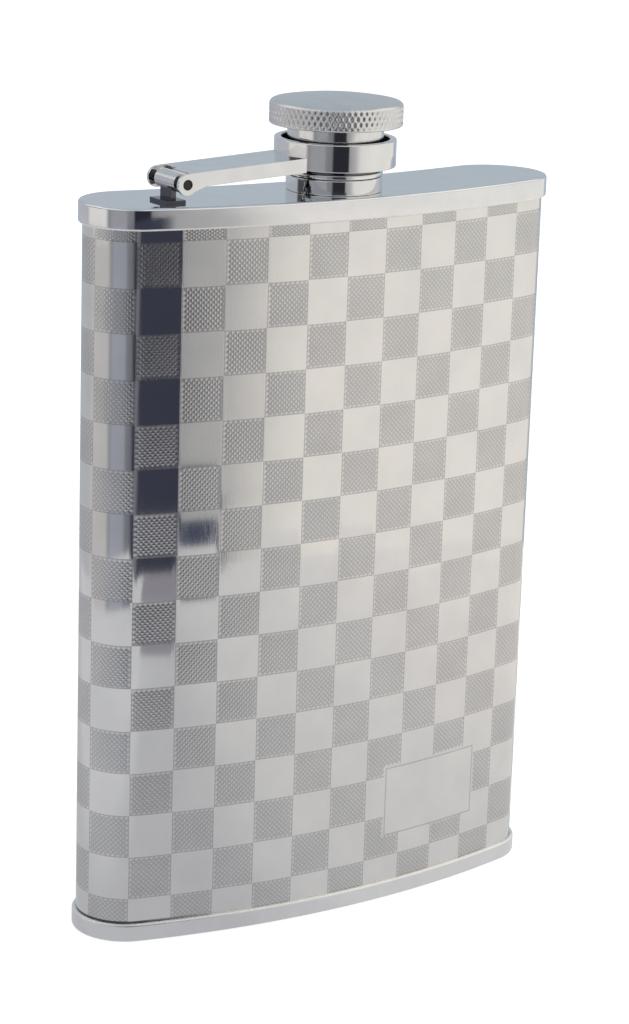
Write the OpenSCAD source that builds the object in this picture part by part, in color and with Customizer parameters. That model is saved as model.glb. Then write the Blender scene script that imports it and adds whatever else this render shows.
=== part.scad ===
// Hip flask with a hinged, captive screw cap.
// X runs along the flask's width, Y from its convex front to its hollow back, Z up.
// The origin is on the base, under the middle of the neck. All sizes are in millimetres.

/* [Body] */
// Width of the sleeve, end to end
sleeve_w = 88.9; // [80:0.1:96]
// Height from the underside of the base to the top plate
body_h = 125.7; // [110:0.1:150]
// Radius of the convex front
front_r = 154.7; // [140:0.1:200]
// Radius of the hollow back
back_r = 207.4; // [180:0.1:240]
// Radius of the rounded ends
end_r = 8.4; // [8:0.1:10]
// Wall of the rolled sleeve
sleeve_wall = 0.5; // [0.4:0.05:0.8]

/* [Top and base pressings] */
// Sheet thickness of the two pressings
plate_t = 0.7; // [0.5:0.05:0.9]
// Depth of the top plate's rim
top_rim_h = 3.7; // [3:0.1:6]
// Depth of the base plate's rim
base_rim_h = 3.2; // [2.5:0.1:5]
// Rounding of the outer edges of both rims
rim_edge_r = 0.6; // [0.3:0.05:0.65]

/* [Neck] */
// Radius of the spout's bore
bore_r = 5.6; // [5:0.05:5.8]
// Radius of the spout under its thread
spout_r = 6.3; // [6.2:0.05:6.4]
// Height of the spout above the top plate
spout_h = 8; // [7:0.1:8]
// Length of the spout under the top plate
spout_tail = 1.5; // [1.2:0.1:3]
// Radius of the spout's flange, under the top plate
spout_flange_r = 7.5; // [7:0.1:8]
// Radius of the collar at the foot of the spout
collar_r = 8.1; // [7.8:0.05:8.3]
// Height of the collar
collar_h = 2.55; // [2:0.05:2.6]

/* [Thread] */
// Distance from one turn to the next
thread_pitch = 1.6; // [1.4:0.1:1.8]
// Depth of the thread
thread_depth = 0.25; // [0.15:0.05:0.28]
// Straight lengths that make one turn
thread_steps = 24; // [16:1:32]

/* [Cap] */
// Radius of the knurled head
head_r = 11.15; // [10.8:0.05:12]
// Height of the knurled band
head_h = 4; // [3.5:0.1:5]
// Rise of the domed top
dome_h = 0.95; // [0.5:0.05:1.5]
// Rounding of the head's upper edge
head_top_r = 0.8; // [0.4:0.05:1]
// Rounding of the head's lower edge
head_bottom_r = 0.3; // [0.2:0.05:0.6]
// Wall of the head
head_wall = 1.2; // [1:0.05:1.3]
// Height of the head's underside above the top plate
head_lift = 10.9; // [10.9:0.1:12]
// Outer radius of the skirt
skirt_r = 8.05; // [8:0.05:8.1]
// Radius of the groove that carries the captive ring
groove_r = 7.6; // [7.55:0.05:7.65]
// Radius of the bore that the cap's thread stands in
cap_bore_r = 7.25; // [7.2:0.05:7.3]
// Height of the cap's mouth above the top plate
cap_mouth = 2.65; // [2.65:0.05:2.8]
// Height of the retaining lip
lip_h = 0.75; // [0.6:0.05:0.8]
// Thickness of the gasket
gasket_t = 1; // [0.8:0.1:1]

/* [Captive ring] */
// Outer radius of the ring
ring_r = 10.2; // [10:0.05:10.6]
// Wall of the ring
ring_wall = 1.2; // [1:0.05:1.3]
// Height of the ring's lower edge above the top plate
ring_lift = 4.15; // [4:0.05:4.2]
// Height of the ring
ring_h = 4.6; // [4:0.1:5]
// Thickness of the inward flange at the ring's lower edge
flange_t = 0.7; // [0.5:0.05:0.75]

/* [Arm and hinge] */
// Distance from the neck's axis to the hinge pin
hinge_x = 31.35; // [30:0.05:33]
// Height of the hinge pin above the top plate
hinge_lift = 3.35; // [3.2:0.05:3.6]
// Width over the arm's two side walls
arm_w = 10.2; // [10:0.1:12]
// Sheet thickness of the arm
arm_t = 0.6; // [0.5:0.05:0.7]
// Height of the arm's web over the hinge, above the top plate
web_lift = 5.15; // [5.1:0.05:5.3]
// Upward slope of the arm towards the ring, in degrees
arm_slope = 3; // [2:0.1:3.5]
// Depth of the arm's side walls
side_h = 2.4; // [1.8:0.1:2.6]
// Radius of the ears round the pin
ear_r = 1.75; // [1.7:0.05:1.8]
// Radius of the hinge pin
pin_r = 0.85; // [0.7:0.05:0.9]
// How far each end of the pin lies below the ear's face
pin_recess = 0.2; // [0.1:0.05:0.3]
// Width of the bracket's curled knuckle
knuckle_w = 6.2; // [5:0.1:7]
// Radius of the knuckle
knuckle_r = 1.5; // [1.4:0.05:1.55]
// Sheet thickness of the bracket
bracket_t = 0.5; // [0.4:0.05:0.6]
// Width of the bracket's waist, between knuckle and foot
waist_w = 3.4; // [3:0.1:4]
// Length of the bracket's foot, along X
foot_l = 3.6; // [3:0.1:5]
// Width of the bracket's foot
foot_w = 5.4; // [5:0.1:8]

/* [Hidden] */
$fn = 96;

// A small overlap that keeps the faces of a cut from coinciding
over = 0.5;
// Gap between a turning piece and the piece that it turns in
running_gap = 0.05;
// Gap between the ring's flange and the groove that it sits in
ring_gap = 0.1;

// Centres of the ends, the front arc and the back arc
end_x = sleeve_w / 2 - end_r;
front_rise = sqrt((front_r - end_r) ^ 2 - end_x ^ 2);
back_rise = sqrt((back_r + end_r) ^ 2 - end_x ^ 2);
body_d = front_r - front_rise + back_rise - back_r;
front_y = front_r - body_d / 2;
end_y = front_y - front_rise;
back_y = end_y + back_rise;

ring_in = ring_r - ring_wall;
pin_z = body_h + hinge_lift;
ear_face = arm_w / 2;

// Colours of the finishes
polished = [0.80, 0.82, 0.84];
satin = [0.74, 0.73, 0.71];
turned = [0.76, 0.76, 0.76];
silicone = [0.88, 0.88, 0.85];

// The flask's outline, grown by d all round: two round ends, joined by an arc
// that bulges in front and an arc that is hollow behind.
module outline(d) {
  reach = 1.1 * front_r / (front_r - end_r);
  for (side = [-1, 1]) translate([side * end_x, end_y]) circle(r = end_r + d);
  difference() {
    intersection() {
      translate([0, front_y]) circle(r = front_r + d);
      polygon([
        [-end_x * reach, front_y - front_rise * reach],
        [end_x * reach, front_y - front_rise * reach],
        [end_x, end_y],
        [0, back_y],
        [-end_x, end_y]
      ]);
    }
    translate([0, back_y]) circle(r = back_r - d);
  }
}

// A slab of the outline, from z0 to z1
module slab(d, z0, z1) {
  translate([0, 0, z0]) linear_extrude(height = z1 - z0) outline(d);
}

// A tube about the Z axis, from z0 to z1
module ring(r_out, r_in, z0, z1) {
  translate([0, 0, z0]) difference() {
    cylinder(r = r_out, h = z1 - z0);
    translate([0, 0, -over]) cylinder(r = r_in, h = z1 - z0 + 2 * over);
  }
}

// A pressing's outside: the rim's full outline, stepped in round one edge
module pressing(z0, z1, round_top) {
  steps = 4;
  for (i = [0:steps]) {
    inset = rim_edge_r * (1 - cos(90 * i / (steps + 1)));
    drop = rim_edge_r * (1 - sin(90 * i / steps));
    if (round_top) slab(plate_t - inset, z0, z1 - drop);
    else slab(plate_t - inset, z0 + drop, z1);
  }
}

// The sleeve: one sheet rolled to the outline and welded up one end
module body_sleeve() {
  color(satin) difference() {
    slab(0, plate_t, body_h - plate_t);
    slab(-sleeve_wall, plate_t - over, body_h - plate_t + over);
  }
}

// The top plate: a pressed lid over the sleeve's upper edge
module top_plate() {
  color(polished) difference() {
    pressing(body_h - top_rim_h, body_h, true);
    slab(0, body_h - top_rim_h - over, body_h - plate_t);
    translate([0, 0, body_h - 2 * plate_t]) cylinder(r = spout_r, h = 3 * plate_t);
  }
}

// The base plate: a pressed lid over the sleeve's lower edge
module base_plate() {
  color(polished) difference() {
    pressing(0, base_rim_h, false);
    slab(0, plate_t, base_rim_h + over);
  }
}

// A screw thread: a ridge of triangular section swept along a helix of radius r.
// grow is the ridge's height, outward where it is positive and inward where it is not.
module thread(r, grow, z0, turns) {
  count = thread_steps * turns;
  root = 0.1 * sign(grow);
  half = 0.32 * thread_pitch;
  rings = [for (i = [0:count])
    let (
      a = 360 * i / thread_steps,
      z = z0 + thread_pitch * i / thread_steps,
      fade = min(1, i / 4, (count - i) / 4),
      tip = r + grow * (0.1 + 0.9 * fade)
    )
    [
      [(r - root) * cos(a), (r - root) * sin(a), z - half],
      [tip * cos(a), tip * sin(a), z],
      [(r - root) * cos(a), (r - root) * sin(a), z + half]
    ]];
  points = [for (section = rings) for (p = section) p];
  flip = grow > 0;
  sides = [for (i = [0:count - 1]) for (k = [0:2])
    let (a = 3 * i + k, b = 3 * i + (k + 1) % 3, c = b + 3, d = a + 3)
    flip ? [a, b, c, d] : [d, c, b, a]];
  last = 3 * count;
  ends = flip ? [[2, 1, 0], [last, last + 1, last + 2]] : [[0, 1, 2], [last + 2, last + 1, last]];
  polyhedron(points = points, faces = concat(sides, ends), convexity = 6);
}

// The spout: a turned tube through the top plate, flanged under it and threaded above
module neck_spout() {
  color(turned) translate([0, 0, body_h]) {
    difference() {
      union() {
        translate([0, 0, -spout_tail]) cylinder(r = spout_r, h = spout_tail + spout_h);
        translate([0, 0, -spout_tail]) cylinder(r = spout_flange_r, h = spout_tail - plate_t);
      }
      translate([0, 0, -spout_tail - over]) cylinder(r = bore_r, h = spout_tail + spout_h + 2 * over);
    }
    thread(spout_r, thread_depth, collar_h + 0.9, 2.5);
  }
}

// The collar: a plain turned ring round the foot of the spout
module neck_collar() {
  color(polished) ring(collar_r, spout_r, body_h, body_h + collar_h);
}

// The bracket: a strip curled round the pin, standing on a foot brazed to the top plate
module hinge_bracket() {
  color(polished) translate([-hinge_x, 0, 0]) difference() {
    union() {
      translate([0, knuckle_w / 2, pin_z]) rotate([90, 0, 0]) cylinder(r = knuckle_r, h = knuckle_w);
      translate([-1.15, -waist_w / 2, body_h]) cube([2 * bracket_t, waist_w, hinge_lift]);
      translate([-foot_l / 2 - 0.7, -foot_w / 2, body_h]) cube([foot_l, foot_w, bracket_t]);
    }
    translate([0, knuckle_w / 2 + over, pin_z]) rotate([90, 0, 0])
      cylinder(r = pin_r + running_gap, h = knuckle_w + 2 * over);
  }
}

// The pin: a plain rod, a little shorter than the width over the ears
module hinge_pin() {
  pin_l = arm_w - 2 * pin_recess;
  color(turned) translate([-hinge_x, pin_l / 2, pin_z]) rotate([90, 0, 0]) cylinder(r = pin_r, h = pin_l);
}

// Height of the web's upper face, at x from the pin
function web_top(x) = web_lift + x * tan(arm_slope);

// The arm's outside, seen square on: a sloping bar whose lower corner runs into the ear.
// The drawing's x is measured from the pin and its y from the top plate.
module arm_outside() {
  polygon([
    [0, hinge_lift],
    [0.4, web_top(0.4)],
    [hinge_x, web_top(hinge_x)],
    [hinge_x, web_top(hinge_x) - side_h],
    [2 * ear_r, web_top(2 * ear_r) - side_h],
    [0.68 * ear_r, hinge_lift - 0.7 * ear_r]
  ]);
}

// The room inside the channel, under its web, and the notch that clears the knuckle
module arm_inside() {
  notch = 1.4;
  polygon([
    [-over, hinge_lift - ear_r - over],
    [-over, web_lift + over],
    [notch, web_lift + over],
    [notch, web_top(notch) - arm_t],
    [hinge_x, web_top(hinge_x) - arm_t],
    [hinge_x, hinge_lift - ear_r - over]
  ]);
}

// The arm: a channel bent from one strip, with an ear on each side wall for the pin.
// Its other end is brazed to the captive ring.
module cap_arm() {
  color(polished) difference() {
    union() {
      difference() {
        translate([-hinge_x, ear_face, body_h]) rotate([90, 0, 0]) linear_extrude(height = arm_w) arm_outside();
        translate([-hinge_x, ear_face - arm_t, body_h]) rotate([90, 0, 0])
          linear_extrude(height = arm_w - 2 * arm_t) arm_inside();
      }
      for (y = [ear_face, -ear_face + arm_t])
        translate([-hinge_x, y, pin_z]) rotate([90, 0, 0]) cylinder(r = ear_r, h = arm_t);
    }
    translate([-hinge_x, ear_face + over, pin_z]) rotate([90, 0, 0]) cylinder(r = pin_r, h = arm_w + 2 * over);
    translate([0, 0, body_h]) cylinder(r = ring_r, h = head_lift);
  }
}

// The captive ring: it carries the cap by an inward flange that sits in the cap's groove
module captive_ring() {
  z0 = body_h + ring_lift;
  color(polished) union() {
    ring(ring_r, ring_in, z0, z0 + ring_h);
    ring(ring_r - ring_wall / 2, groove_r + ring_gap, z0, z0 + flange_t);
  }
}

// The head: a hollow knurled knob with a low domed top
module cap_head() {
  dome_r = (head_r ^ 2 + dome_h ^ 2) / (2 * dome_h);
  color(turned) translate([0, 0, body_h + head_lift]) rotate_extrude() difference() {
    intersection() {
      translate([0, head_h + dome_h - dome_r]) circle(r = dome_r, $fn = 360);
      union() {
        translate([0, head_bottom_r]) square([head_r, head_h - head_bottom_r - head_top_r]);
        square([head_r - head_bottom_r, head_h]);
        square([head_r - head_top_r, head_h + dome_h]);
        translate([head_r - head_bottom_r, head_bottom_r]) circle(r = head_bottom_r);
        translate([head_r - head_top_r, head_h - head_top_r]) circle(r = head_top_r);
      }
    }
    square([groove_r, head_h - head_wall]);
    translate([0, head_wall]) square([head_r - head_wall, head_h - 2 * head_wall]);
  }
}

// The insert: the cap's threaded cup, grooved for the ring and pressed into the head
module cap_insert() {
  groove_top = ring_lift + flange_t + ring_gap;
  ceiling = spout_h + running_gap + gasket_t;
  spigot_top = head_lift + head_h - head_wall;
  color(turned) translate([0, 0, body_h]) {
    difference() {
      union() {
        translate([0, 0, cap_mouth]) cylinder(r = groove_r, h = spigot_top - cap_mouth);
        translate([0, 0, groove_top]) cylinder(r = skirt_r, h = head_lift - groove_top);
      }
      translate([0, 0, cap_mouth - over]) cylinder(r = cap_bore_r, h = ceiling - cap_mouth + over);
    }
    thread(cap_bore_r, -thread_depth, cap_mouth + 1, 2.5);
  }
}

// The retaining lip: a ring pressed on the mouth of the insert, which traps the captive ring
module retaining_lip() {
  color(polished) ring(collar_r, groove_r, body_h + cap_mouth, body_h + cap_mouth + lip_h);
}

// The gasket: a soft disc in the roof of the cap that closes on the spout's rim
module cap_gasket() {
  color(silicone) translate([0, 0, body_h + spout_h + running_gap])
    cylinder(r = cap_bore_r, h = gasket_t);
}

body_sleeve();
top_plate();
base_plate();
neck_spout();
neck_collar();
hinge_bracket();
hinge_pin();
cap_arm();
captive_ring();
cap_head();
cap_insert();
retaining_lip();
cap_gasket();
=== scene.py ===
import math

import bpy
from mathutils import Matrix, Vector


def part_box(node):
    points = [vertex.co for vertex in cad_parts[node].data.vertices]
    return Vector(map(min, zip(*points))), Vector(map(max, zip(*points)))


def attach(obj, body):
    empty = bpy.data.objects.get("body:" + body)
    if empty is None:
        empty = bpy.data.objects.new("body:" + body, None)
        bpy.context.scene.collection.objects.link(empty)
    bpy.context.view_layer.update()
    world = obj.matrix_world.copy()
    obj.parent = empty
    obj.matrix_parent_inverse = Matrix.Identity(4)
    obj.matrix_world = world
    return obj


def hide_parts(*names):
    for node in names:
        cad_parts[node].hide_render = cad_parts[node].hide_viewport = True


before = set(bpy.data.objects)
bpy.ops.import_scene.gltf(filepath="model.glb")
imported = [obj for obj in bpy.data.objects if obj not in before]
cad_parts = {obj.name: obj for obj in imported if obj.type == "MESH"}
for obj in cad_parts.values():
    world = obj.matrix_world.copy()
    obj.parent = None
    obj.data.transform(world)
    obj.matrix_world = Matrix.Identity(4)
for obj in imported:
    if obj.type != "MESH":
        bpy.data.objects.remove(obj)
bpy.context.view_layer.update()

MM = 0.001


# ---- The rolled sleeve -------------------------------------------------------------------
# One stainless sheet, engraved while it was flat with a chequer of plain and cross-hatched
# squares and one plain panel for initials, then rolled to the flask's outline and welded
# up one end. The hatching is cut as small pyramids, so it is modelled in the sheet itself.

sleeve_low, sleeve_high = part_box("body_sleeve")
base_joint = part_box("base_plate")[1].z
SHEET_T = 0.5 * MM
FRONT_R = 154.7 * MM
BACK_R = 207.4 * MM
END_R = 8.4 * MM

end_x = sleeve_high.x - END_R
front_rise = math.sqrt((FRONT_R - END_R) ** 2 - end_x ** 2)
back_rise = math.sqrt((BACK_R + END_R) ** 2 - end_x ** 2)
front_y = sleeve_low.y + FRONT_R
end_y = front_y - front_rise
back_y = end_y + back_rise

front_half = math.asin(end_x / (FRONT_R - END_R))
back_half = math.asin(end_x / (BACK_R + END_R))
end_turn = math.pi - front_half + back_half
front_len = FRONT_R * front_half
end_len = END_R * end_turn
back_len = BACK_R * back_half
girth = 2 * (front_len + end_len + back_len)


def outline_point(s, grow=0.0):
    """A point of the outline, s metres round from the middle of the front towards +X, grown outwards."""
    s = (s + girth / 2) % girth - girth / 2
    side = 1.0 if s >= 0 else -1.0
    run = abs(s)
    if run <= front_len:
        turn = run / FRONT_R
        radius = FRONT_R + grow
        return side * radius * math.sin(turn), front_y - radius * math.cos(turn)
    run -= front_len
    if run <= end_len:
        turn = front_half + run / END_R
        radius = END_R + grow
        return side * (end_x + radius * math.sin(turn)), end_y - radius * math.cos(turn)
    run = end_len + back_len - run
    turn = run / BACK_R
    radius = BACK_R - grow
    return side * radius * math.sin(turn), back_y - radius * math.cos(turn)


# The chequer on the flat sheet: s runs round from the middle of the front, z runs up
SQUARE = 7.5 * MM
CUTS = 17  # steps of the hatching across a square
HATCH_DEPTH = 0.035 * MM
ROWS = 16
ROW_ONE = 120.15 * MM  # the highest line across
PANEL = (8.95 * MM, 29.8 * MM, 11.5 * MM, 24.2 * MM)  # from s to s, and from z to z
seam_s = 6.635 * SQUARE
cell = SQUARE / CUTS
columns = round(girth / cell)
column_w = girth / columns
first_s = seam_s - girth
row_lines = [ROW_ONE - SQUARE * j for j in range(ROWS)]


def start_edit(obj):
    """Makes obj the only selected object, and goes into edit mode with nothing selected."""
    bpy.ops.object.select_all(action="DESELECT")
    obj.select_set(True)
    bpy.context.view_layer.objects.active = obj
    bpy.ops.object.mode_set(mode="EDIT")
    bpy.ops.mesh.select_all(action="DESELECT")


def pick(obj, kind, test):
    """In edit mode, selects the vertices, edges or faces for which test(item) is true."""
    bpy.ops.mesh.select_mode(type=kind)
    bpy.ops.mesh.select_all(action="DESELECT")
    bpy.ops.object.mode_set(mode="OBJECT")
    items = {"VERT": obj.data.vertices, "EDGE": obj.data.edges, "FACE": obj.data.polygons}[kind]
    for item in items:
        item.select = bool(test(item))
    bpy.ops.object.mode_set(mode="EDIT")


def edge_is_at(obj, edge, z):
    """True where an edge of obj lies at the height z."""
    return all(abs(obj.data.vertices[i].co.z - z) < 0.01 * MM for i in edge.vertices)


def apply_all(obj):
    """Applies obj's modifiers in their order."""
    bpy.ops.object.select_all(action="DESELECT")
    obj.select_set(True)
    bpy.context.view_layer.objects.active = obj
    for modifier in list(obj.modifiers):
        bpy.ops.object.modifier_apply(modifier=modifier.name)


def square_of(s, z):
    """The column and the row of the square that holds a point of the flat sheet."""
    steps = round((s - first_s) / column_w - 0.5)
    from_seam = (columns - 1 - steps) // CUTS
    row = math.floor((ROW_ONE - z) / SQUARE) + 1
    return -from_seam, row


def is_hatched(s, z):
    """True where the sheet is cross-hatched: on every other square, but not in the panel."""
    if PANEL[0] < s < PANEL[1] and PANEL[2] < z < PANEL[3]:
        return False
    column, row = square_of(s, z)
    return (column + row) % 2 == 0


bpy.ops.object.select_all(action="DESELECT")
bpy.ops.mesh.primitive_grid_add(x_subdivisions=columns, y_subdivisions=1, size=1.0)
sleeve = bpy.context.active_object
sleeve.name = "engraved_sleeve"
low_z, high_z = sleeve_low.z, sleeve_high.z
for v in sleeve.data.vertices:
    v.co = (first_s + (v.co.x + 0.5) * girth, (v.co.y + 0.5) * (high_z - low_z) + low_z, 0.0)
start_edit(sleeve)
for z in row_lines:
    bpy.ops.mesh.select_all(action="SELECT")
    bpy.ops.mesh.bisect(plane_co=(0, z, 0), plane_no=(0, 1, 0))
bpy.ops.object.mode_set(mode="OBJECT")

hatched_sides = set()
for face in sleeve.data.polygons:
    if is_hatched(face.center.x, face.center.y) or (
        PANEL[0] - SQUARE < face.center.x < PANEL[1] + SQUARE
        and PANEL[2] - SQUARE < face.center.y < PANEL[3] + SQUARE
    ):
        for a, b in face.edge_keys:
            if abs(sleeve.data.vertices[a].co.x - sleeve.data.vertices[b].co.x) < cell / 4:
                hatched_sides.add((a, b))
start_edit(sleeve)
pick(sleeve, "EDGE", lambda e: tuple(e.vertices) in hatched_sides or tuple(e.vertices)[::-1] in hatched_sides)
bpy.ops.mesh.subdivide(number_cuts=CUTS - 1)


def lattice_is_low(co):
    """True on every other crossing of the fine lattice, inside the hatched squares."""
    i = round((co.x - first_s) / column_w)
    on_line = min(abs(co.y - z) for z in row_lines) < cell / 4
    ends = co.y < low_z + cell / 4 or co.y > high_z - cell / 4
    on_column = (columns - i) % CUTS == 0
    if on_line or ends or on_column or i in (0, columns):
        return False
    corners = [(co.x + dx, co.y + dz) for dx in (-cell / 2, cell / 2) for dz in (-cell / 2, cell / 2)]
    if not all(is_hatched(s, z) for s, z in corners):
        return False
    above = min((z for z in row_lines + [high_z] if z > co.y), default=high_z)
    below = max((z for z in row_lines + [low_z] if z < co.y), default=low_z)
    j = round((above - co.y) / (above - below) * CUTS)
    return (i + j) % 2 == 0


pick(sleeve, "VERT", lambda v: lattice_is_low(v.co))
bpy.ops.transform.translate(value=(0, 0, -HATCH_DEPTH))
bpy.ops.mesh.vert_connect()
bpy.ops.object.mode_set(mode="OBJECT")

flat_uv = sleeve.data.uv_layers.new(name="sheet")
for loop in sleeve.data.loops:
    co = sleeve.data.vertices[loop.vertex_index].co
    flat_uv.data[loop.index].uv = (co.x, co.y)
hatch_faces = [is_hatched(f.center.x, f.center.y) for f in sleeve.data.polygons]
pit = sleeve.data.attributes.new("pit", "FLOAT", "POINT")
for v in sleeve.data.vertices:
    pit.data[v.index].value = 1.0 if v.co.z < -HATCH_DEPTH / 2 else 0.0
for v in sleeve.data.vertices:
    x, y = outline_point(v.co.x, v.co.z)
    v.co = (x, y, v.co.y)
hatch_set = {i for i, hatch in enumerate(hatch_faces) if hatch}


def smooth(obj, degrees=32, weigh=True):
    """Smooth shading, creased over the angle given. Weighing keeps flat faces flat beside round edges."""
    bpy.ops.object.select_all(action="DESELECT")
    obj.select_set(True)
    bpy.context.view_layer.objects.active = obj
    bpy.ops.object.shade_smooth_by_angle(angle=math.radians(degrees))
    if weigh:
        weights = obj.modifiers.new("weights", "WEIGHTED_NORMAL")
        weights.keep_sharp = True
        apply_all(obj)


def close_seams(obj, distance=0.02 * MM):
    """Merges doubled vertices."""
    start_edit(obj)
    bpy.ops.mesh.select_all(action="SELECT")
    bpy.ops.mesh.remove_doubles(threshold=distance)
    bpy.ops.object.mode_set(mode="OBJECT")


def outline_wall(name, z0, z1, grow, inward=False):
    """A bare wall of the outline, one face high, as many columns as the sheet has."""
    bpy.ops.object.select_all(action="DESELECT")
    bpy.ops.mesh.primitive_grid_add(x_subdivisions=columns, y_subdivisions=1, size=1.0)
    wall = bpy.context.active_object
    wall.name = name
    for v in wall.data.vertices:
        x, y = outline_point(first_s + (v.co.x + 0.5) * girth, grow)
        v.co = (x, y, z1 if v.co.y > 0 else z0)
    if inward:
        start_edit(wall)
        bpy.ops.mesh.select_all(action="SELECT")
        bpy.ops.mesh.flip_normals()
        bpy.ops.object.mode_set(mode="OBJECT")
    return wall


def join(main, *others):
    """Joins the other objects into main."""
    bpy.ops.object.select_all(action="DESELECT")
    for obj in (main, *others):
        obj.select_set(True)
    bpy.context.view_layer.objects.active = main
    bpy.ops.object.join()
    return main


def node_material(name, color, roughness, metallic=1.0):
    """A new material with one shader, and the two helpers that add nodes to it and link them."""
    material = bpy.data.materials.new(name)
    material.use_nodes = True
    tree = material.node_tree
    shader = tree.nodes["Principled BSDF"]
    shader.inputs["Base Color"].default_value = (*color, 1.0)
    shader.inputs["Metallic"].default_value = metallic
    shader.inputs["Roughness"].default_value = roughness

    def add(kind, **settings):
        node = tree.nodes.new(kind)
        for key, value in settings.items():
            if key in node.inputs:
                node.inputs[key].default_value = value
            else:
                setattr(node, key, value)
        return node

    def link(a, out, b, into):
        tree.links.new(a.outputs[out], b.inputs[into])

    return material, add, link, shader


def color_noise(add, link, shader, source, scale, dark, light, low=0.35, high=0.65):
    """Varies the shader's colour between dark and light with a soft noise."""
    noise = add("ShaderNodeTexNoise", Scale=scale, Detail=3.0)
    ramp = add("ShaderNodeValToRGB")
    ramp.color_ramp.elements[0].position = low
    ramp.color_ramp.elements[0].color = (*dark, 1.0)
    ramp.color_ramp.elements[1].position = high
    ramp.color_ramp.elements[1].color = (*light, 1.0)
    link(*source, noise, "Vector")
    link(noise, "Fac", ramp, "Fac")
    link(ramp, "Color", shader, "Base Color")
    return ramp


def band(add, link, source, out, centre, half):
    """1 within half of centre, and 0 outside, as a node with one value."""
    near = add("ShaderNodeMath", operation="COMPARE")
    near.inputs[1].default_value = centre
    near.inputs[2].default_value = half
    link(source, out, near, 0)
    return near


def both(add, link, a, b, operation="MULTIPLY"):
    """One node that joins the values of two."""
    node = add("ShaderNodeMath", operation=operation)
    link(a, "Value", node, 0)
    link(b, "Value", node, 1)
    return node


def in_panel(add, link, parts, inset):
    """1 inside the panel's four sides moved inwards by inset, and 0 outside them."""
    across = band(add, link, parts, "X", (PANEL[0] + PANEL[1]) / 2, (PANEL[1] - PANEL[0]) / 2 - inset)
    up = band(add, link, parts, "Y", (PANEL[2] + PANEL[3]) / 2, (PANEL[3] - PANEL[2]) / 2 - inset)
    return both(add, link, across, up)


def edge_lines(add, link, parts, out, start):
    """1 on a line centred on start, and on its repeats a square apart, and 0 between the lines."""
    shift = add("ShaderNodeMath", operation="SUBTRACT")
    link(parts, out, shift, 0)
    shift.inputs[1].default_value = start - EDGE_W / 2
    wrap = add("ShaderNodeMath", operation="FLOORED_MODULO")
    link(shift, "Value", wrap, 0)
    wrap.inputs[1].default_value = SQUARE
    line = add("ShaderNodeMath", operation="LESS_THAN")
    link(wrap, "Value", line, 0)
    line.inputs[1].default_value = EDGE_W
    return line


LINE_W = 0.27 * MM  # the panel's outline
EDGE_W = 0.42 * MM  # the plain edge between two squares, both sides together
# The painted shade along the sleeve's joint with the base plate: its height, and where round the left end it
# starts and is full
JOINT_SHADE_H = 0.35 * MM
JOINT_SHADE_NONE, JOINT_SHADE_FULL = -26 * MM, -38 * MM


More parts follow.
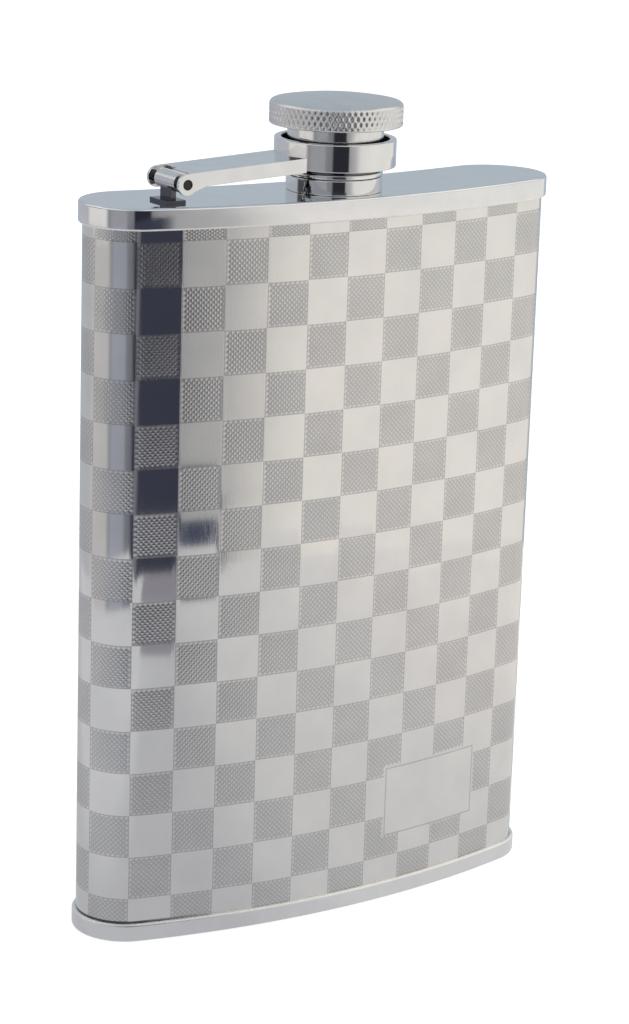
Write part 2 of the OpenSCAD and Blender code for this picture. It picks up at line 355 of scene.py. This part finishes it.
def sheet_steel(name, light, dark, roughness, brush, pit_shade=None):
    """Satin sheet, brushed upwards. With pit_shade, it has the hatched squares' edges, and painted shade in the
    pits too.
    """
    material, add, link, shader = node_material(name, light, roughness)
    uv = add("ShaderNodeUVMap", uv_map="sheet")
    parts = add("ShaderNodeSeparateXYZ")
    link(uv, "UV", parts, "Vector")
    ramp = color_noise(add, link, shader, (uv, "UV"), 140.0, dark, light)
    lines = both(add, link, in_panel(add, link, parts, 0.0), in_panel(add, link, parts, LINE_W), "SUBTRACT")
    if pit_shade:
        across = edge_lines(add, link, parts, "X", seam_s)
        up = edge_lines(add, link, parts, "Y", ROW_ONE)
        lines = both(add, link, both(add, link, across, up, "MAXIMUM"), lines, "MAXIMUM")

    # Painted shade in the joint with the base plate, round the left end
    low = add("ShaderNodeMath", operation="LESS_THAN")
    link(parts, "Y", low, 0)
    low.inputs[1].default_value = base_joint + JOINT_SHADE_H
    left = add("ShaderNodeMapRange")
    left.inputs["From Min"].default_value = JOINT_SHADE_NONE
    left.inputs["From Max"].default_value = JOINT_SHADE_FULL
    left.inputs["To Max"].default_value = 0.85
    link(parts, "X", left, "Value")
    joint_shade = add("ShaderNodeMath", operation="MULTIPLY")
    link(low, "Value", joint_shade, 0)
    link(left, "Result", joint_shade, 1)
    joint = add("ShaderNodeMix", data_type="RGBA", blend_type="MULTIPLY")
    link(joint_shade, "Value", joint, 0)
    link(ramp, "Color", joint, 6)
    joint.inputs[7].default_value = (0.05, 0.05, 0.06, 1.0)

    tint = add("ShaderNodeMix", data_type="RGBA", blend_type="MULTIPLY")
    link(lines, "Value", tint, 0)
    link(joint, 2, tint, 6)
    tint.inputs[7].default_value = (0.74, 0.73, 0.72, 1.0)
    link(tint, 2, shader, "Base Color")

    stretch = add("ShaderNodeMapping")
    stretch.inputs["Scale"].default_value = (9000.0, 260.0, 1.0)
    link(uv, "UV", stretch, "Vector")
    streak = add("ShaderNodeTexNoise", Scale=1.0, Detail=2.0)
    link(stretch, "Vector", streak, "Vector")
    rough = add("ShaderNodeMapRange")
    rough.inputs["To Min"].default_value = roughness * 0.8
    rough.inputs["To Max"].default_value = roughness * 1.25
    link(streak, "Fac", rough, "Value")
    link(rough, "Result", shader, "Roughness")
    relief = add("ShaderNodeMath", operation="SUBTRACT")
    link(streak, "Fac", relief, 0)
    link(lines, "Value", relief, 1)
    bump = add("ShaderNodeBump", Strength=brush, Distance=0.02 * MM)
    link(relief, "Value", bump, "Height")
    link(bump, "Normal", shader, "Normal")

    # The sheet leans a little in the column where its tight end runs into the front
    lean = add("ShaderNodeMapRange")
    lean.inputs["From Min"].default_value = seam_s - 12 * SQUARE
    lean.inputs["From Max"].default_value = seam_s - 11 * SQUARE
    link(parts, "X", lean, "Value")
    tilt = add("ShaderNodeBump", Strength=1.0, Distance=1.0 * MM)
    link(lean, "Result", tilt, "Height")
    link(tilt, "Normal", bump, "Normal")

    # Painted shade: the hatching's pits are darkened in colour
    if pit_shade:
        pits = add("ShaderNodeAttribute", attribute_name="pit")
        shade = add("ShaderNodeMix", data_type="RGBA", blend_type="MULTIPLY")
        link(pits, "Fac", shade, 0)
        link(tint, 2, shade, 6)
        shade.inputs[7].default_value = (pit_shade, pit_shade, pit_shade, 1.0)
        link(shade, 2, shader, "Base Color")
    return material


plain_steel = sheet_steel("plain_squares", (0.795, 0.785, 0.765), (0.75, 0.742, 0.73), 0.075, 0.22)
# The hatched squares' last number is the painted shade in their pits
hatch_steel = sheet_steel("hatched_squares", (0.77, 0.763, 0.755), (0.72, 0.713, 0.706), 0.26, 0.12, 0.66)
bare_steel, add, link, shader = node_material("bare_steel", (0.6, 0.6, 0.6), 0.35)
place = add("ShaderNodeTexCoord")
color_noise(add, link, shader, (place, "Object"), 90.0, (0.50, 0.50, 0.49), (0.62, 0.62, 0.61))
sheet_back = outline_wall("sheet_back", low_z, high_z, -SHEET_T, inward=True)
sheet_back.data.uv_layers[0].name = "sheet"
sheet_back.data.materials.append(bare_steel)
close_seams(sleeve)
close_seams(sheet_back)
sleeve.data.materials.append(plain_steel)
sleeve.data.materials.append(hatch_steel)
for face in sleeve.data.polygons:
    face.material_index = int(face.index in hatch_set)
join(sleeve, sheet_back)
for edge_z in (low_z, high_z):
    start_edit(sleeve)
    pick(sleeve, "EDGE", lambda e: edge_is_at(sleeve, e, edge_z))
    bpy.ops.mesh.bridge_edge_loops()
    bpy.ops.object.mode_set(mode="OBJECT")
smooth(sleeve, 4, weigh=False)
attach(sleeve, "flask")
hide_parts("body_sleeve")


# ---- The top and base plates -------------------------------------------------------------
# Two pressings of polished stainless sheet, each a shallow lid whose rim is closed over the
# sleeve and soldered. Their edges are rolled round, and each rim's edge band has a painted
# highlight: a lighter copy of the steel that gives it a bright line.

top_low, top_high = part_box("top_plate")
base_low, base_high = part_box("base_plate")
PLATE_T = 0.7 * MM
PLATE_GAP = 0.02 * MM
SPOUT_R = 6.3 * MM
HEM_H = 0.55 * MM


def pressing(name, z0, z1, closed_top, edge):
    """A lid of the outline: a rim from z0 to z1, closed at its top or its foot, with round edges."""
    lid = outline_wall(name, z0, z1, PLATE_T)
    close_seams(lid)
    inner = outline_wall("inner", z0 + (0 if closed_top else PLATE_T), z1 - (PLATE_T if closed_top else 0),
                         PLATE_GAP, inward=True)
    close_seams(inner)
    join(lid, inner)
    lid.data.uv_layers.remove(lid.data.uv_layers[0])
    shut_z, open_z = (z1, z0) if closed_top else (z0, z1)
    shut_in = z1 - PLATE_T if closed_top else z0 + PLATE_T
    start_edit(lid)
    pick(lid, "EDGE", lambda e: edge_is_at(lid, e, open_z))
    bpy.ops.mesh.bridge_edge_loops()
    for z in (shut_z, shut_in):
        pick(lid, "EDGE", lambda e: edge_is_at(lid, e, z))
        bpy.ops.mesh.edge_face_add()
    bpy.ops.mesh.select_all(action="SELECT")
    bpy.ops.mesh.normals_make_consistent(inside=False)
    # The outer wall's vertices come first, so the inner edge of the rim is told from the outer one
    pick(lid, "EDGE", lambda e: edge_is_at(lid, e, shut_z) or (
        edge_is_at(lid, e, open_z) and max(e.vertices) < 2 * columns))
    bpy.ops.mesh.bevel(offset=edge, segments=5, affect="EDGES")
    bpy.ops.object.mode_set(mode="OBJECT")
    smooth(lid, 40)
    return lid


top_lid = pressing("top_lid", top_low.z, top_high.z, True, 0.45 * MM)
base_lid = pressing("base_lid", base_low.z, base_high.z, False, 0.5 * MM)


def polished_steel(name, light, dark, roughness, wear=0.05, scale=260.0):
    """Polished steel: a faint cloudiness in colour and gloss, and hairline scratches."""
    material, add, link, shader = node_material(name, light, roughness)
    place = add("ShaderNodeTexCoord")
    color_noise(add, link, shader, (place, "Object"), scale, dark, light)
    cloud = add("ShaderNodeTexNoise", Scale=scale * 2.3, Detail=4.0)
    link(place, "Object", cloud, "Vector")
    rough = add("ShaderNodeMapRange")
    rough.inputs["To Min"].default_value = roughness * 0.7
    rough.inputs["To Max"].default_value = roughness * 1.4
    link(cloud, "Fac", rough, "Value")
    link(rough, "Result", shader, "Roughness")
    stretch = add("ShaderNodeMapping")
    stretch.inputs["Scale"].default_value = (400.0, 2600.0, 5200.0)
    stretch.inputs["Rotation"].default_value = (0.3, 0.2, 0.5)
    link(place, "Object", stretch, "Vector")
    hair = add("ShaderNodeTexNoise", Scale=1.0, Detail=2.0)
    link(stretch, "Vector", hair, "Vector")
    bump = add("ShaderNodeBump", Strength=wear, Distance=0.01 * MM)
    link(hair, "Fac", bump, "Height")
    link(bump, "Normal", shader, "Normal")
    return material


bpy.ops.object.select_all(action="DESELECT")
bpy.ops.mesh.primitive_cylinder_add(vertices=96, radius=SPOUT_R, depth=6 * MM, location=(0, 0, top_high.z))
drill = bpy.context.active_object
hole = top_lid.modifiers.new("spout_hole", "BOOLEAN")
hole.object = drill
apply_all(top_lid)
bpy.data.objects.remove(drill)
smooth(top_lid, 40)

plate_steel = polished_steel("polished_plate", (0.83, 0.83, 0.83), (0.79, 0.79, 0.795), 0.05)
# A lighter copy of the plate steel for the rims' edge bands: a painted highlight
hem_highlight_steel = polished_steel("hem_painted_highlight", (0.97, 0.96, 0.93), (0.92, 0.91, 0.88), 0.42)
for lid, node, slot in ((top_lid, "top_plate", "polished_top"), (base_lid, "base_plate", "polished_base")):
    lid.data.materials.clear()
    lid.data.materials.append(plate_steel)
    lid.data.materials.append(hem_highlight_steel)
    for face in lid.data.polygons:
        on_hem = (face.center.z > base_high.z - HEM_H and face.normal.z > 0.35 if node == "base_plate"
                  else face.center.z < top_low.z + HEM_H and face.normal.z < -0.35)
        face.material_index = int(on_hem)
    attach(lid, "flask")
    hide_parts(node)


# ---- The turned pieces --------------------------------------------------------------------
# The collar, the spout, the captive ring, the insert and the lip are turned from stainless
# bar. Their edges are broken with a small radius, as a lathe hand leaves them.


def with_round_edges(node, name, edge, segments=3):
    """A copy of a CAD node with its triangles merged into faces and its edges rounded."""
    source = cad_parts[node]
    piece = bpy.data.objects.new(name, source.data.copy())
    bpy.context.scene.collection.objects.link(piece)
    start_edit(piece)
    bpy.ops.mesh.select_all(action="SELECT")
    bpy.ops.mesh.remove_doubles(threshold=0.001 * MM)
    bpy.ops.mesh.dissolve_limited(angle_limit=math.radians(1.0))
    bpy.ops.object.mode_set(mode="OBJECT")
    bevel = piece.modifiers.new("edges", "BEVEL")
    bevel.width = edge
    bevel.segments = segments
    bevel.limit_method = "ANGLE"
    bevel.angle_limit = math.radians(35)
    bevel.use_clamp_overlap = True
    apply_all(piece)
    smooth(piece, 30)
    return piece


def steel_shaded_below(name, dark_z, unshaded_z, shade_color):
    """Polished steel with painted shade below the height given: dark below dark_z, fading out up to unshaded_z.
    """
    material, add, link, shader = node_material(name, (0.8, 0.8, 0.8), 0.10)
    place = add("ShaderNodeTexCoord")
    height_of = add("ShaderNodeSeparateXYZ")
    link(place, "Object", height_of, "Vector")
    ramp = color_noise(add, link, shader, (place, "Object"), 900.0, (0.74, 0.735, 0.73), (0.81, 0.81, 0.80))
    shade_fade = add("ShaderNodeMapRange")
    shade_fade.inputs["From Min"].default_value = dark_z
    shade_fade.inputs["From Max"].default_value = unshaded_z
    shade_fade.inputs["To Min"].default_value = 1.0
    shade_fade.inputs["To Max"].default_value = 0.0
    link(height_of, "Z", shade_fade, "Value")
    shade_mix = add("ShaderNodeMix", data_type="RGBA", blend_type="MULTIPLY")
    link(shade_fade, "Result", shade_mix, 0)
    link(ramp, "Color", shade_mix, 6)
    shade_mix.inputs[7].default_value = (*shade_color, 1.0)
    link(shade_mix, 2, shader, "Base Color")
    return material


ring_steel = polished_steel("polished_ring", (0.83, 0.825, 0.82), (0.78, 0.775, 0.77), 0.06)
turned_steel = polished_steel("turned_steel", (0.80, 0.80, 0.795), (0.74, 0.74, 0.735), 0.16)
# The insert gets painted shade below 134.25 mm, in the ring's gap
core_steel = steel_shaded_below("turned_core", 134.25 * MM, 134.5 * MM, (0.20, 0.195, 0.20))
# Painted shade: a dark copy of the steel for the ring's bore
bore_shade_steel = polished_steel("bore_painted_shade", (0.34, 0.33, 0.33), (0.22, 0.215, 0.21), 0.3)
collar = with_round_edges("neck_collar", "spout_collar", 0.2 * MM)
spout = with_round_edges("neck_spout", "threaded_spout", 0.05 * MM, 2)
captive = with_round_edges("captive_ring", "captive_band", 0.22 * MM)
insert = with_round_edges("cap_insert", "cap_core", 0.08 * MM, 2)
lip = with_round_edges("retaining_lip", "cap_lip", 0.18 * MM)
for piece, body, node, slot, steel in (
    (collar, "flask", "neck_collar", "polished_collar", ring_steel),
    (spout, "flask", "neck_spout", "turned_spout", turned_steel),
    (captive, "arm", "captive_ring", "polished_ring", ring_steel),
    (insert, "cap", "cap_insert", "turned_insert", core_steel),
    (lip, "cap", "retaining_lip", "polished_lip", ring_steel),
):
    piece.data.materials.clear()
    piece.data.materials.append(steel)
    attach(piece, body)
    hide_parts(node)
RING_BORE_R = 9.5 * MM
# The faces of the ring's bore take the painted shade
captive.data.materials.append(bore_shade_steel)
for face in captive.data.polygons:
    flat = Vector((face.center.x, face.center.y))
    if flat.length < RING_BORE_R and flat.normalized().dot(Vector((face.normal.x, face.normal.y))) < -0.3:
        face.material_index = 1


# ---- The arm and its hinge ------------------------------------------------------------------
# The arm is a channel bent from one strip of stainless sheet, brazed to the captive ring.
# Its two ears hold the pin, which turns in a strip curled over it and brazed to the plate.

arm = with_round_edges("cap_arm", "hinged_arm", 0.22 * MM)
bracket = with_round_edges("hinge_bracket", "curled_bracket", 0.15 * MM)
arm_steel = polished_steel("polished_arm", (0.83, 0.83, 0.825), (0.78, 0.78, 0.78), 0.09)
pin_steel = polished_steel("plain_pin", (0.10, 0.095, 0.095), (0.05, 0.05, 0.05), 0.35)
# Painted shade on the bracket's foot: dark below 127.9 mm, fading out by 129.2 mm
bracket_shade_steel = steel_shaded_below("bracket_painted_shade", 127.9 * MM, 129.2 * MM, (0.13, 0.125, 0.15))
for piece, body, node, slot, steel in (
    (arm, "arm", "cap_arm", "polished_arm", arm_steel),
    (bracket, "flask", "hinge_bracket", "polished_bracket", bracket_shade_steel),
):
    piece.data.materials.clear()
    piece.data.materials.append(steel)
    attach(piece, body)
    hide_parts(node)
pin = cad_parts["hinge_pin"]
pin.data.materials.clear()
pin.data.materials.append(pin_steel)


# ---- The knurled head -----------------------------------------------------------------------
# The head is turned from stainless bar with a low domed top, and rolled with a diamond knurl
# round its side before the edges are broken. It is pressed on the insert.

head_low, head_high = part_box("cap_head")
HEAD_R = head_high.x
DOME_H = 0.95 * MM
KNURLS = 68
KNURL_STEPS = 8  # points round one knurl
KNURL_DEPTH = 0.19 * MM
KNURL_ROW = 0.92 * MM
EDGE_TOP = 0.85 * MM
EDGE_FOOT = 0.35 * MM
BORE_R = 7.6 * MM
head_foot = head_low.z
rim_z = head_high.z - DOME_H

bpy.ops.object.select_all(action="DESELECT")
bpy.ops.mesh.primitive_circle_add(vertices=KNURLS * KNURL_STEPS, radius=HEAD_R - EDGE_FOOT, fill_type="NOTHING")
head = bpy.context.active_object
head.name = "knurled_head"
for v in head.data.vertices:
    v.co.z = head_foot
start_edit(head)
bpy.ops.mesh.select_all(action="SELECT")


def follow(profile):
    """Extrudes the selected loop from the profile's first radius and height through all the others."""
    for (r0, z0), (r1, z1) in zip(profile, profile[1:]):
        bpy.ops.mesh.extrude_region_move(TRANSFORM_OT_translate={"value": (0, 0, z1 - z0)})
        bpy.ops.transform.resize(value=(r1 / r0, r1 / r0, 1), center_override=(0, 0, 0))


knurl_foot = head_foot + EDGE_FOOT
knurl_top = rim_z - EDGE_TOP
rows = round((knurl_top - knurl_foot) / (KNURL_ROW / 4))
row_h = (knurl_top - knurl_foot) / rows
foot = (HEAD_R - EDGE_FOOT, head_foot)
profile = [foot]
for step in (30, 60, 90):
    turn = math.radians(step)
    profile.append((foot[0] + EDGE_FOOT * math.sin(turn), head_foot + EDGE_FOOT * (1 - math.cos(turn))))
for row in range(rows):
    profile.append((HEAD_R, knurl_foot + row_h * (row + 1)))
for step in (18, 36, 54, 72, 83):
    turn = math.radians(step)
    profile.append((HEAD_R - EDGE_TOP * (1 - math.cos(turn)), knurl_top + EDGE_TOP * math.sin(turn)))
dome_r, dome_z = profile[-1]
for share in (0.86, 0.72, 0.58, 0.44, 0.30, 0.16, 0.05):
    profile.append((dome_r * share, head_high.z - (head_high.z - dome_z) * share ** 2))
follow(profile)
bpy.ops.mesh.edge_face_add()
bpy.ops.object.mode_set(mode="OBJECT")


def knurl_pit(co):
    """How deep the knurl is at a point of the head's side, from 0 on a crest to 1 in a pit."""
    if not knurl_foot + 0.01 * MM < co.z < knurl_top + 0.01 * MM:
        return 0.0
    across = math.atan2(co.y, co.x) * KNURLS
    up = (co.z - knurl_foot) / KNURL_ROW * math.pi
    wave = (math.cos(across + up) + math.cos(across - up)) / 4 + 0.5
    return max(0.0, (wave - 0.25) / 0.75)


for v in head.data.vertices:
    depth = knurl_pit(v.co) * KNURL_DEPTH
    if depth:
        v.co.x *= 1 - depth / HEAD_R
        v.co.y *= 1 - depth / HEAD_R
core_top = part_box("cap_insert")[1].z
start_edit(head)
pick(head, "EDGE", lambda e: edge_is_at(head, e, head_foot))
follow([foot, (BORE_R, head_foot), (BORE_R, core_top)])
bpy.ops.mesh.edge_face_add()
bpy.ops.mesh.select_all(action="SELECT")
bpy.ops.mesh.normals_make_consistent(inside=False)
bpy.ops.object.mode_set(mode="OBJECT")
smooth(head, 40, weigh=False)
head_steel = polished_steel("knurled_steel", (0.78, 0.77, 0.76), (0.73, 0.72, 0.71), 0.28)
head.data.materials.clear()
head.data.materials.append(head_steel)
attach(head, "cap")
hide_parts("cap_head")


# ---- The gasket -----------------------------------------------------------------------------
# A disc of white silicone, punched from sheet and pushed into the roof of the cap, where it
# closes on the spout's rim. It is hidden while the cap is on, so it keeps its plain mesh.

silicone, add, link, shader = node_material("white_silicone", (0.82, 0.82, 0.79), 0.5, 0.0)
place = add("ShaderNodeTexCoord")
color_noise(add, link, shader, (place, "Object"), 500.0, (0.74, 0.74, 0.70), (0.84, 0.84, 0.81))
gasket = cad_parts["cap_gasket"]
gasket.data.materials.clear()
gasket.data.materials.append(silicone)


# ---- The floor, the lights and the camera -----------------------------------------------------
# A plain white table. Polished steel shows what stands round it, so the studio has a low
# ring of soft panels round it, with a dark gap between them on the camera's side.

CAMERA_AT = Vector((-271.98, -407.60, 205.90)) * MM
CAMERA_AIM = Vector((-1.273, 0.844, 69.673)) * MM
CAMERA_ROLL = 1.80
RING_R = 240 * MM
TABLE_R = 6.0
camera_azimuth = math.atan2(CAMERA_AT.y, CAMERA_AT.x)

scene = bpy.context.scene
bpy.ops.object.select_all(action="DESELECT")
bpy.ops.mesh.primitive_circle_add(vertices=96, radius=TABLE_R, fill_type="NGON", location=(0, 0, -0.05 * MM))
floor = bpy.context.active_object
floor.name = "floor"
floor_paint, add, link, shader = node_material("white_table", (0.93, 0.93, 0.93), 0.9, 0.0)
shader.inputs["Specular IOR Level"].default_value = 0.1
shader.inputs["Emission Color"].default_value = (1.0, 0.97, 0.93, 1.0)
shader.inputs["Emission Strength"].default_value = 0.54
floor.data.materials.append(floor_paint)
floor.visible_glossy = False


def glow_material(name, kind, span, stops):
    """Emission whose colour runs along x, or round the flask from the camera's side, with the stops given."""
    material = bpy.data.materials.new(name)
    material.use_nodes = True
    tree = material.node_tree
    tree.nodes.clear()
    place = tree.nodes.new("ShaderNodeTexCoord")
    turned = tree.nodes.new("ShaderNodeMapping")
    split = tree.nodes.new("ShaderNodeSeparateXYZ")
    share = tree.nodes.new("ShaderNodeMapRange")
    ramp = tree.nodes.new("ShaderNodeValToRGB")
    emit = tree.nodes.new("ShaderNodeEmission")
    out = tree.nodes.new("ShaderNodeOutputMaterial")
    tree.links.new(place.outputs["Object"], turned.inputs["Vector"])
    tree.links.new(turned.outputs["Vector"], split.inputs["Vector"])
    if kind == "round":
        turned.inputs["Rotation"].default_value = (0, 0, -camera_azimuth)
        angle = tree.nodes.new("ShaderNodeMath")
        angle.operation = "ARCTAN2"
        tree.links.new(split.outputs["Y"], angle.inputs[0])
        tree.links.new(split.outputs["X"], angle.inputs[1])
        tree.links.new(angle.outputs["Value"], share.inputs["Value"])
    else:
        tree.links.new(split.outputs["X"], share.inputs["Value"])
    share.inputs["From Min"].default_value = span[0]
    share.inputs["From Max"].default_value = span[1]
    tree.links.new(share.outputs["Result"], ramp.inputs["Fac"])
    tree.links.new(ramp.outputs["Color"], emit.inputs["Color"])
    tree.links.new(emit.outputs["Emission"], out.inputs["Surface"])
    elements = ramp.color_ramp.elements
    while len(elements) < len(stops):
        elements.new(0.5)
    for element, (at, color) in zip(elements, stops):
        element.position = (at - stops[0][0]) / (stops[-1][0] - stops[0][0])
    # Colours last, since a stop that moves can change places with another
    for element, (at, color) in zip(elements, stops):
        element.color = (*color, 1.0)
    return material


def only_in_reflections(obj):
    """Hides obj from everything but reflections."""
    obj.visible_camera = False
    obj.visible_diffuse = False
    obj.visible_shadow = False
    obj.visible_transmission = False


# Across the table, in mm
TABLE_STOPS = (
    (-250, (0.65, 0.66, 0.69)), (-95, (0.65, 0.66, 0.69)), (-60, (0.55, 0.56, 0.585)),
    (-22, (0.53, 0.53, 0.56)), (3, (0.66, 0.66, 0.67)), (45, (0.71, 0.71, 0.71)),
    (95, (0.78, 0.765, 0.76)), (180, (0.87, 0.84, 0.81)), (250, (0.88, 0.85, 0.82)),
)
bpy.ops.object.select_all(action="DESELECT")
bpy.ops.mesh.primitive_circle_add(vertices=96, radius=TABLE_R, fill_type="NGON", location=(0, 0, -0.3 * MM))
table_glow = bpy.context.active_object
table_glow.name = "table_glow"
table_glow.data.materials.append(glow_material("table_glow", "across", (-0.25, 0.25), TABLE_STOPS))
only_in_reflections(table_glow)


def studio_ring(name, z0, z1, stops):
    """A ring of soft panels between two heights, its stops in degrees round from the camera."""
    bpy.ops.object.select_all(action="DESELECT")
    bpy.ops.mesh.primitive_cylinder_add(vertices=180, radius=RING_R, depth=z1 - z0, end_fill_type="NOTHING",
                                        location=(0, 0, (z0 + z1) / 2))
    ring = bpy.context.active_object
    ring.name = name
    bpy.ops.object.transform_apply(location=True)
    ring.data.materials.append(glow_material(name, "round", (-math.pi, math.pi), stops))
    only_in_reflections(ring)


LOW_STOPS = (
    (-180, (0.46, 0.52, 0.58)), (-136, (0.46, 0.52, 0.58)), (-128, (0.52, 0.53, 0.57)),
    (-97, (0.52, 0.53, 0.56)), (-92, (0.58, 0.57, 0.57)), (-54, (0.55, 0.545, 0.55)),
    (-48, (0.30, 0.31, 0.33)), (-42, (0.36, 0.385, 0.45)), (-19, (0.34, 0.36, 0.42)),
    (-15, (0.22, 0.23, 0.26)), (-5, (0.17, 0.18, 0.21)), (-2, (0.045, 0.05, 0.075)),
    (29, (0.045, 0.05, 0.075)), (31, (0.40, 0.40, 0.41)), (41, (0.50, 0.50, 0.50)),
    (46, (0.68, 0.66, 0.64)), (53, (0.85, 0.82, 0.785)), (60, (0.90, 0.865, 0.83)),
    (95, (0.93, 0.90, 0.865)), (135, (0.90, 0.865, 0.83)), (143, (0.46, 0.52, 0.58)),
    (180, (0.46, 0.52, 0.58)),
)
MID_STOPS = (
    (-180, (0.46, 0.52, 0.58)), (-136, (0.46, 0.52, 0.58)), (-128, (0.50, 0.51, 0.56)),
    (-97, (0.50, 0.51, 0.55)), (-92, (0.78, 0.76, 0.74)), (-56, (0.80, 0.785, 0.77)),
    (-50, (0.28, 0.28, 0.29)), (-42, (0.34, 0.35, 0.375)), (-19, (0.34, 0.35, 0.375)),
    (-15, (0.24, 0.25, 0.27)), (-5, (0.20, 0.21, 0.23)), (-2, (0.025, 0.025, 0.035)),
    (25.5, (0.025, 0.025, 0.035)), (27, (0.34, 0.34, 0.35)), (34, (0.44, 0.44, 0.45)),
    (39, (0.50, 0.50, 0.50)), (43, (0.62, 0.62, 0.61)), (47, (0.76, 0.75, 0.735)),
    (53, (0.83, 0.815, 0.785)), (87, (0.88, 0.875, 0.835)), (135, (0.88, 0.87, 0.83)),
    (143, (0.46, 0.52, 0.58)), (180, (0.46, 0.52, 0.58)),
)
HIGH_STOPS = (
    (-180, (0.46, 0.52, 0.58)), (-97, (0.48, 0.52, 0.58)), (-92, (0.08, 0.08, 0.09)),
    (-67, (0.08, 0.08, 0.09)), (-62, (0.33, 0.36, 0.40)), (-6, (0.30, 0.33, 0.37)),
    (-3, (0.05, 0.05, 0.06)), (28, (0.05, 0.05, 0.06)), (33, (0.66, 0.645, 0.62)),
    (110, (0.70, 0.68, 0.65)), (125, (0.66, 0.66, 0.74)), (143, (0.46, 0.52, 0.58)),
    (180, (0.46, 0.52, 0.58)),
)
TOP_STOPS = (
    (-180, (0.46, 0.52, 0.58)), (-130, (0.46, 0.52, 0.58)), (-110, (0.95, 0.93, 0.90)),
    (-40, (0.85, 0.85, 0.85)), (0, (0.50, 0.51, 0.53)), (40, (0.95, 0.93, 0.90)),
    (125, (1.05, 1.02, 0.97)), (140, (0.46, 0.52, 0.58)), (180, (0.46, 0.52, 0.58)),
)
studio_ring("low_panels", 0.0, 84.5 * MM, LOW_STOPS)
studio_ring("mid_panels", 84.5 * MM, 150 * MM, MID_STOPS)
studio_ring("high_panels", 150 * MM, 205 * MM, HIGH_STOPS)
studio_ring("top_panels", 205 * MM, 420 * MM, TOP_STOPS)


def dark_card(name, width, depth, place, turn, color):
    """A small plain card that shows only in reflections."""
    bpy.ops.object.select_all(action="DESELECT")
    bpy.ops.mesh.primitive_plane_add(size=1.0, location=place, rotation=turn)
    card = bpy.context.active_object
    card.name = name
    card.scale = (width, depth, 1.0)
    bpy.ops.object.transform_apply(location=True, rotation=True, scale=True)
    card.data.materials.append(glow_material(name, "across", (-1.0, 1.0), ((-1, color), (1, color))))
    only_in_reflections(card)


# One stands inside the ring, and one lies in front of the ring's dark gap
CARD_R = 222 * MM
card_turn = camera_azimuth + math.radians(35.4)
dark_card("standing_card", 33.7 * MM, 16.9 * MM,
          (CARD_R * math.cos(card_turn), CARD_R * math.sin(card_turn), 8.55 * MM),
          (math.pi / 2, 0, card_turn + math.pi / 2), (0.055, 0.065, 0.11))
# The lying card is a painted shadow on the table, seen only in reflections
dark_card("lying_card", 70 * MM, 72 * MM, (-58 * MM, -201 * MM, -0.1 * MM), (0, 0, 0), (0.30, 0.29, 0.33))

world = bpy.data.worlds.new("studio")
world.use_nodes = True
scene.world = world
sky = world.node_tree.nodes["Background"]
sky.inputs["Color"].default_value = (0.455, 0.525, 0.585, 1.0)
sky.inputs["Strength"].default_value = 1.0


def soft_light(name, place, aim, size, watts):
    """A square area light that the camera and the polished steel don't see."""
    data = bpy.data.lights.new(name, "AREA")
    data.size = size
    data.energy = watts
    light = bpy.data.objects.new(name, data)
    scene.collection.objects.link(light)
    light.location = place
    light.rotation_euler = (Vector(aim) - Vector(place)).to_track_quat("-Z", "Y").to_euler()
    light.visible_camera = False
    light.visible_glossy = False


soft_light("key", (-0.5, -0.9, 1.1), (0, 0, 0.05), 1.2, 4.0)
soft_light("fill", (0.9, -0.3, 0.9), (0, 0, 0.05), 1.2, 2.5)
soft_light("back", (0.1, 1.0, 0.9), (0, 0, 0.05), 1.2, 2.5)

camera_data = bpy.data.cameras.new("camera")
camera_data.sensor_width = 36.0
camera_data.lens = 104.07
camera = bpy.data.objects.new("camera", camera_data)
scene.collection.objects.link(camera)
level = (CAMERA_AIM - CAMERA_AT).to_track_quat("-Z", "Y")
camera.rotation_euler = (level.to_matrix() @ Matrix.Rotation(math.radians(CAMERA_ROLL), 3, "Z")).to_euler()
camera.location = CAMERA_AT
scene.camera = camera
scene.view_settings.view_transform = "Standard"
scene.view_settings.look = "None"
